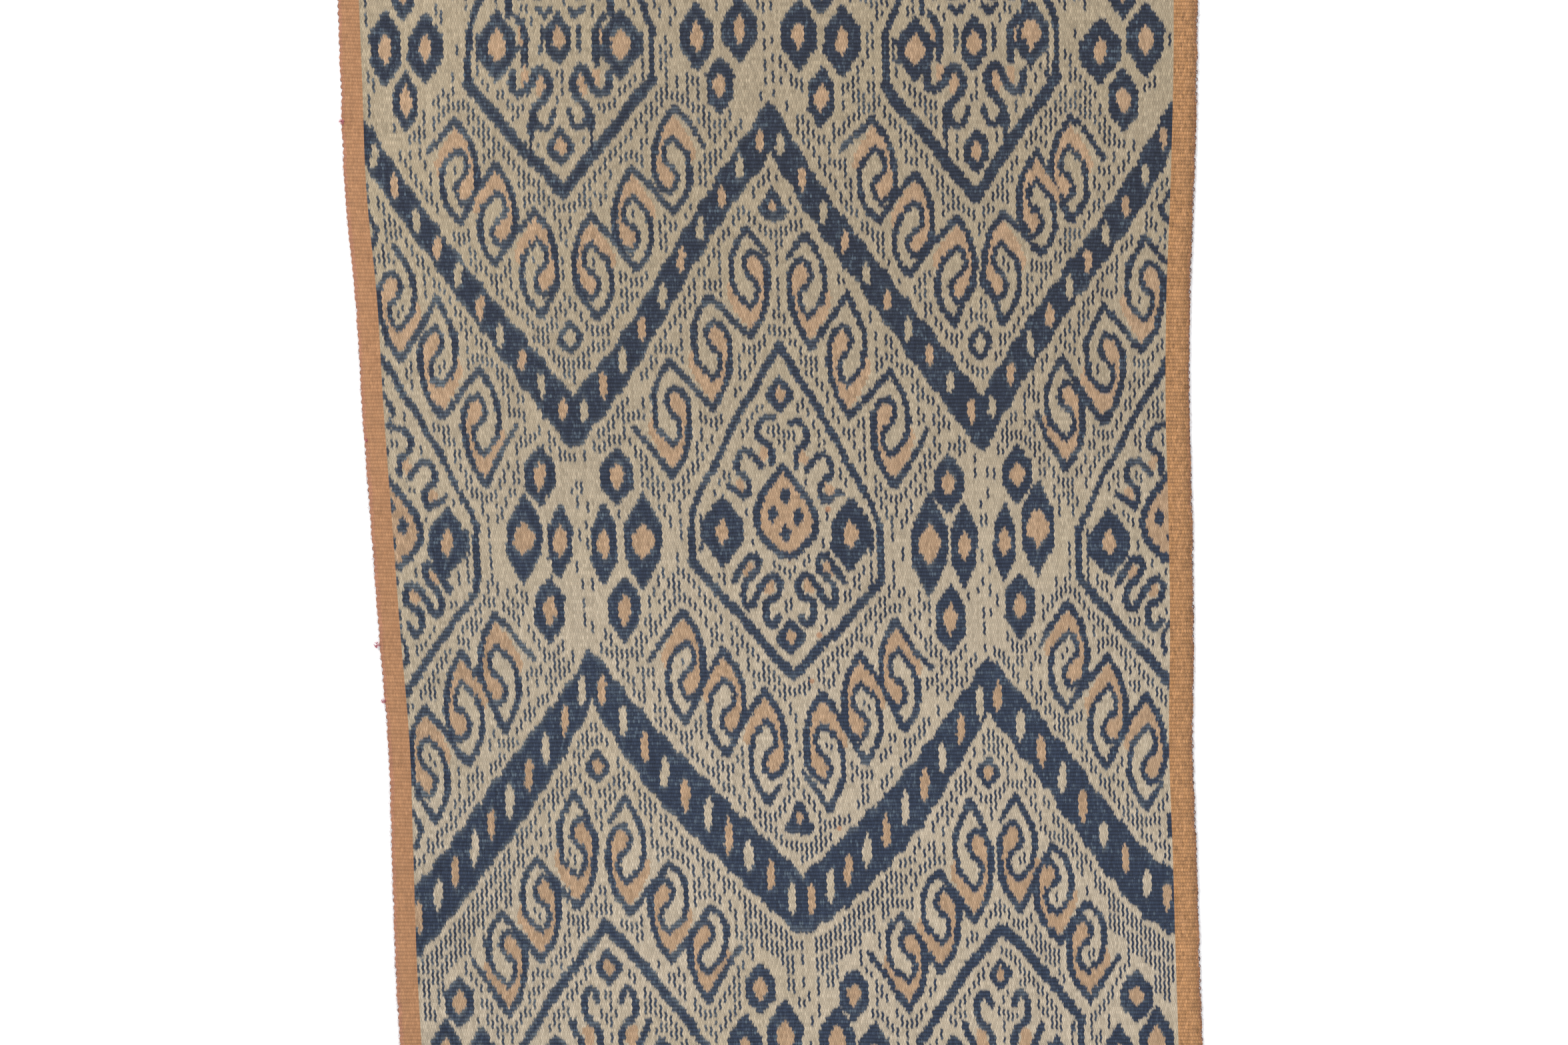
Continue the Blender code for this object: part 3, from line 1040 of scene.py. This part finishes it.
def stripe_material():
    g = Graph("ikat_stripe")
    u, v, warp, pick, x, y = weave_nodes(g)
    right = g.attribute("right_side").outputs["Fac"]
    number = g.add(g.attribute("first_warp").outputs["Fac"], warp)
    chart = g.attribute("chart").outputs["Vector"]
    warp_random, warp_colour = g.white(g.combine(number, 7.3, 1.0))
    seed_random, seed_colour = g.white(g.combine(number, pick, 4.0))
    wc, sc = g.split(warp_colour), g.split(seed_colour)
    left_c = g.mix(wc[0], linear((190, 138, 98)), linear((178, 128, 89)))
    right_c = g.mix(wc[0], linear((186, 136, 91)), linear((172, 124, 78)))
    colour = g.mix(right, left_c, right_c)
    colour = g.mix(g.mul(sc[1], 0.3), colour, linear((206, 156, 116)))
    patch = g.noise(g.vector("MULTIPLY", chart, (0.02, 0.008, 0)), 1.0, 3.0)
    # the outermost warps are a redder thread
    wander = g.mul(g.sub(patch, 0.5), 3.0)
    red_left = g.ramp(g.add(warp, wander), 0.8, 3.6, 0.8, 0.0)
    red_right = g.ramp(g.add(warp, wander), 0.8, 2.8, 0.5, 0.0)
    red = g.blend(right, red_left, red_right)
    colour = g.mix(g.mul(red, 0.85), colour, g.mix(right, linear((196, 134, 110)), linear((186, 126, 94))))
    # the round of each float, and dark gaps between that are partly the weft showing through and partly painted shade,
    # deeper on the right stripe
    xx, yy = g.mul(x, x), g.mul(y, y)
    round_ = g.math("MAXIMUM", g.sub(1.0, g.add(g.mul(xx, 1.05), g.mul(yy, 0.78))), 0.0)
    gap = g.ramp(round_, 0.02, 0.6)
    weft_and_painted_shade_depth = g.blend(right, 0.45, 0.95)
    colour = g.mix(g.mul(g.sub(1.0, gap), weft_and_painted_shade_depth), colour, linear((112, 70, 40)))
    fibre = g.noise(g.combine(g.mul(u, 6.0), g.mul(v, 1.1)), 1.0, 2.0)
    value = g.tree.nodes.new("ShaderNodeHueSaturation")
    g.wire(colour, value.inputs["Color"])
    # painted highlight and shade along each pick row, with random tone by pick and warp
    line = g.math("COSINE", g.mul(v, 2 * math.pi))
    band, band_colour = g.white(g.combine(pick, g.math("FLOOR", g.mul(warp, 0.12)), 9.0))
    painted_rib_shade_and_tone = g.add(g.mul(line, g.blend(right, 0.16, 0.26)), g.mul(g.sub(band, 0.5), 0.12))
    grain, grain_colour = g.white(g.combine(number, g.math("FLOOR", g.add(v, 0.5)), 2.0))
    painted_rib_shade_and_tone = g.add(painted_rib_shade_and_tone, g.mul(g.sub(grain, 0.5), g.blend(right, 0.24, 0.50)))
    # the left stripe darkens down the cloth and the right one lightens near the bottom
    chart_y = g.split(chart)[1]
    painted_rib_shade_and_tone = g.add(painted_rib_shade_and_tone, g.blend(right, g.ramp(chart_y, 500.0, 1300.0, -0.015, -0.050), g.ramp(chart_y, 900.0, 1450.0, -0.050, -0.010)))
    g.wire(g.add(g.add(g.blend(right, 0.84, 0.80), painted_rib_shade_and_tone), g.add(g.mul(seed_random, g.blend(right, 0.18, 0.42)), g.mul(fibre, 0.14))), value.inputs["Value"])
    g.wire(value.outputs[0], g.shader.inputs["Base Color"])
    g.wire(g.add(0.76, g.mul(fibre, 0.16)), g.shader.inputs["Roughness"])
    g.shader.inputs["Specular IOR Level"].default_value = 0.22
    g.shader.inputs["Sheen Weight"].default_value = 0.10
    g.shader.inputs["Sheen Roughness"].default_value = 0.6
    bump = g.tree.nodes.new("ShaderNodeBump")
    bump.inputs["Strength"].default_value = 0.5
    bump.inputs["Distance"].default_value = 0.00035
    g.wire(g.add(round_, g.mul(fibre, 0.18)), bump.inputs["Height"])
    g.wire(bump.outputs[0], g.shader.inputs["Normal"])
    return g.material


def thread_material(name, dark, light):
    g = Graph(name)
    geo = g.tree.nodes.new("ShaderNodeTexCoord").outputs["Object"]
    n = g.noise(g.vector("MULTIPLY", geo, (900.0, 900.0, 900.0)), 1.0, 3.0)
    slow = g.noise(g.vector("MULTIPLY", geo, (40.0, 40.0, 40.0)), 1.0, 2.0)
    colour = g.mix(g.ramp(g.add(g.mul(n, 0.5), g.mul(slow, 0.5)), 0.35, 0.65), linear(dark), linear(light))
    g.wire(colour, g.shader.inputs["Base Color"])
    g.wire(g.add(0.72, g.mul(n, 0.2)), g.shader.inputs["Roughness"])
    g.shader.inputs["Specular IOR Level"].default_value = 0.2
    g.shader.inputs["Sheen Weight"].default_value = 0.15
    bump = g.tree.nodes.new("ShaderNodeBump")
    bump.inputs["Strength"].default_value = 0.4
    bump.inputs["Distance"].default_value = 0.0001
    g.wire(n, bump.inputs["Height"])
    g.wire(bump.outputs[0], g.shader.inputs["Normal"])
    return g.material


# ---------------------------------------------------------------- threads at the edges
def tubes(name, paths, radii, sides=4):
    """One mesh of many thin tubes. paths is a list of point lists in metres."""
    verts, faces = [], []
    for pts, rad in zip(paths, radii):
        pts = [Vector(p) for p in pts]
        start = len(verts)
        up = Vector((0, 0, 1))
        for k, p in enumerate(pts):
            t = (pts[min(k + 1, len(pts) - 1)] - pts[max(k - 1, 0)]).normalized()
            a = t.cross(up)
            if a.length < 1e-4:
                a = t.cross(Vector((0, 1, 0)))
            a.normalize()
            b = t.cross(a).normalized()
            rr = rad if not hasattr(rad, "__len__") else rad[k]
            for s in range(sides):
                q = 2 * math.pi * s / sides + 0.4
                verts.append(p + a * (rr * math.cos(q)) + b * (rr * math.sin(q)))
        for k in range(len(pts) - 1):
            for s in range(sides):
                i, j = start + k * sides + s, start + k * sides + (s + 1) % sides
                faces.append((i, j, j + sides, i + sides))
        faces.append(tuple(start + s for s in range(sides))[::-1])
        faces.append(tuple(start + (len(pts) - 1) * sides + s for s in range(sides)))
    me = bpy.data.meshes.new(name)
    me.from_pydata([tuple(v) for v in verts], [], faces)
    me.polygons.foreach_set("use_smooth", np.ones(len(faces), bool))
    me.update()
    ob = bpy.data.objects.new(name, me)
    bpy.context.scene.collection.objects.link(ob)
    return ob


def to_world(x, y, z):
    return ((x - CHART_X) * UNIT, (CHART_Y - y) * UNIT, z)


def weft_turns():
    """The weft shows as small loops where it turns back at each selvedge."""
    paths, radii = [], []
    for side in (0, 1):
        y = TOP_Y + PICK * 1.5
        while y < END_Y - PICK * 2:
            e = float(outer_edges(y)[side])
            out = 1 if side else -1
            bulge = rng.uniform(0.4, 1.7) if side else rng.uniform(-0.2, 0.7)
            mid = 0.0006 + rng.normal(0, 0.00006)
            pts = []
            for k in range(7):
                a = -math.pi / 2 + math.pi * k / 6
                pts.append(to_world(e + out * (-1.5 + (bulge + 1.4) * math.cos(a)),
                                    y + PICK * 0.55 * math.sin(a), mid + 0.00012 * math.sin(a)))
            paths.append(pts)
            radii.append(rng.uniform(0.00020, 0.00030))
            y += PICK * 2
    return tubes("weft_turns", paths, radii, 5)


def edge_fuzz(side, name, count, lower=1):
    """Short loose fibres along a selvedge, more of them lower down where lower is above 1."""
    paths, radii = [], []
    for _ in range(count):
        y = rng.uniform(TOP_Y + 6, END_Y - 6, lower).max()
        e = float(outer_edges(y)[side])
        out = 1 if side else -1
        reach = abs(rng.normal(0, 1.9)) + 0.5
        lean = rng.normal(0, 3.0)
        curl = rng.normal(0, 1.5)
        z0 = rng.uniform(0.0003, 0.0010)
        pts = [to_world(e - out * 1.2, y, z0),
               to_world(e + out * reach * 0.35, y + lean * 0.3 + curl * 0.5, z0 + rng.uniform(-0.0001, 0.0003)),
               to_world(e + out * reach * 0.75, y + lean * 0.7 + curl, z0 + rng.uniform(-0.0002, 0.0003)),
               to_world(e + out * reach, y + lean, max(z0 + rng.uniform(-0.0003, 0.0003), 0.0001))]
        paths.append(pts)
        radii.append([0.00007, 0.00006, 0.00005, 0.00003])
    return tubes(name, paths, radii, 3)


# Small tufts of pink fibre caught on the left selvedge: x, y, spread.
TUFTS = [(565, 968, 5.0), (575, 1052, 4.0), (549, 660, 3.0), (512, 183, 4.5)]


def tufts():
    paths, radii = [], []
    for tx, ty, spread in TUFTS:
        for _ in range(int(26 * spread / 4)):
            a = rng.uniform(0, 2 * math.pi)
            r0 = rng.uniform(0, spread * 0.4)
            x, y = tx + r0 * math.cos(a), ty + r0 * math.sin(a)
            z = rng.uniform(0.0009, 0.0014)
            pts = []
            bend = rng.uniform(-2.0, 2.0)
            for k in range(5):
                f = k / 4
                pts.append(to_world(x + spread * 0.8 * f * math.cos(a + bend * f), y + spread * 0.8 * f * math.sin(a + bend * f),
                                    z + 0.0004 * math.sin(math.pi * f)))
            paths.append(pts)
            radii.append([0.00009] * 4 + [0.00005])
    return tubes("selvedge_tufts", paths, radii, 4)


# ---------------------------------------------------------------- pieces
cloth = sheet_mesh()
cloth.data.materials.append(cloth_material())
cloth.data.materials.append(stripe_material())

turns = weft_turns()
turns.data.materials.append(thread_material("weft_thread", (96, 62, 58), (150, 96, 76)))
fuzz_left = edge_fuzz(0, "selvedge_fuzz_left", 900, lower=3)
fuzz_left.data.materials.append(thread_material("red_fibre", (186, 148, 142), (212, 184, 180)))
fuzz_right = edge_fuzz(1, "selvedge_fuzz_right", 1100)
fuzz_right.data.materials.append(thread_material("brown_fibre", (158, 122, 108), (196, 164, 146)))
knots = tufts()
knots.data.materials.append(thread_material("pink_fibre", (196, 96, 112), (226, 140, 150)))

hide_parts("cloth")
for piece in (cloth, turns, fuzz_left, fuzz_right, knots):
    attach(piece, "root")

# ---------------------------------------------------------------- floor, light, camera
floor_mesh = bpy.data.meshes.new("floor")
floor_mesh.from_pydata([(-3, -3, 0), (3, -3, 0), (3, 3, 0), (-3, 3, 0)], [], [(0, 1, 2, 3)])
floor = bpy.data.objects.new("floor", floor_mesh)
floor.location.z = -0.0002
bpy.context.scene.collection.objects.link(floor)
fg = Graph("paper")
pos = fg.tree.nodes.new("ShaderNodeTexCoord").outputs["Object"]
fg.wire(fg.mix(fg.noise(fg.vector("MULTIPLY", pos, (14.0, 14.0, 14.0)), 1.0, 2.0), (0.93, 0.935, 0.95, 1), (0.945, 0.95, 0.96, 1)),
        fg.shader.inputs["Base Color"])
fg.shader.inputs["Roughness"].default_value = 0.9
floor.data.materials.append(fg.material)

scene = bpy.context.scene
scene.view_settings.view_transform = "Standard"
world = bpy.data.worlds.new("studio")
world.use_nodes = True
world.node_tree.nodes["Background"].inputs[0].default_value = (0.97, 0.985, 1.0, 1)
world.node_tree.nodes["Background"].inputs[1].default_value = 0.80
scene.world = world


def area_light(name, at, look, size, power, colour=(1, 1, 1)):
    lamp = bpy.data.lights.new(name, "AREA")
    lamp.shape, lamp.size, lamp.energy, lamp.color = "SQUARE", size, power, colour
    ob = bpy.data.objects.new(name, lamp)
    ob.location = at
    ob.rotation_euler = (Vector(look) - Vector(at)).to_track_quat("-Z", "Y").to_euler()
    scene.collection.objects.link(ob)
    return ob


area_light("key", (-3.4, 3.0, 3.3), (0, 0, 0), 1.8, 190, (1, 0.985, 0.96))
area_light("fill", (3.2, -3.2, 4.4), (0, 0, 0), 2.4, 90, (0.97, 0.985, 1))

cam = bpy.data.cameras.new("camera")
cam.sensor_width = 36.0
cam.lens = 100.0
cam.clip_end = 20.0
cam.dof.use_dof = False
cam_ob = bpy.data.objects.new("camera", cam)
frame_width = 2352 * UNIT
cam_ob.location = ((1176 - CHART_X) * UNIT, 0.0, THICKNESS + frame_width * cam.lens / cam.sensor_width)
scene.collection.objects.link(cam_ob)
scene.camera = cam_ob
